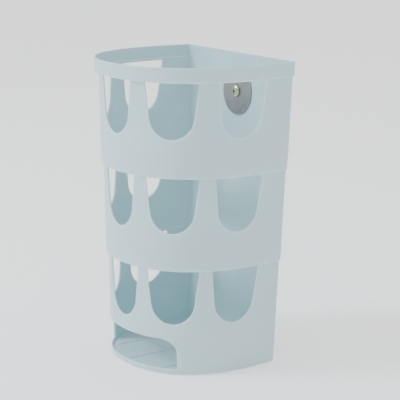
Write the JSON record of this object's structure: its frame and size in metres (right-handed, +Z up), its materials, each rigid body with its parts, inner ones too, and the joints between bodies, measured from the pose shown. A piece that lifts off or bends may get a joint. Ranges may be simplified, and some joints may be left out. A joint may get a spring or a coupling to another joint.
{
  "type": "wall-mounted bag dispenser",
  "caption": "Wall-mounted plastic bag dispenser: stepped D-shaped basket, open on top, with U-shaped holes and a low front mouth.",
  "frame": {"origin": "middle of the bounding box's bottom face, on the plane the foot stands on", "axes": "+Z up through the open top, +Y out of the flat back towards the wall it hangs on, -Y towards the rounded front"},
  "size_m": [0.194, 0.1755, 0.3001],
  "materials": {
    "basket_plastic": "satin moulded plastic, pale grey-blue",
    "washer_steel": "dull pressed steel",
    "screw_zinc": "yellow zinc plating"
  },
  "bodies": {
    "root": {"basket_body": "basket_plastic", "backing_washer": "washer_steel", "wall_screw": "screw_zinc"}
  },
  "joints": []
}
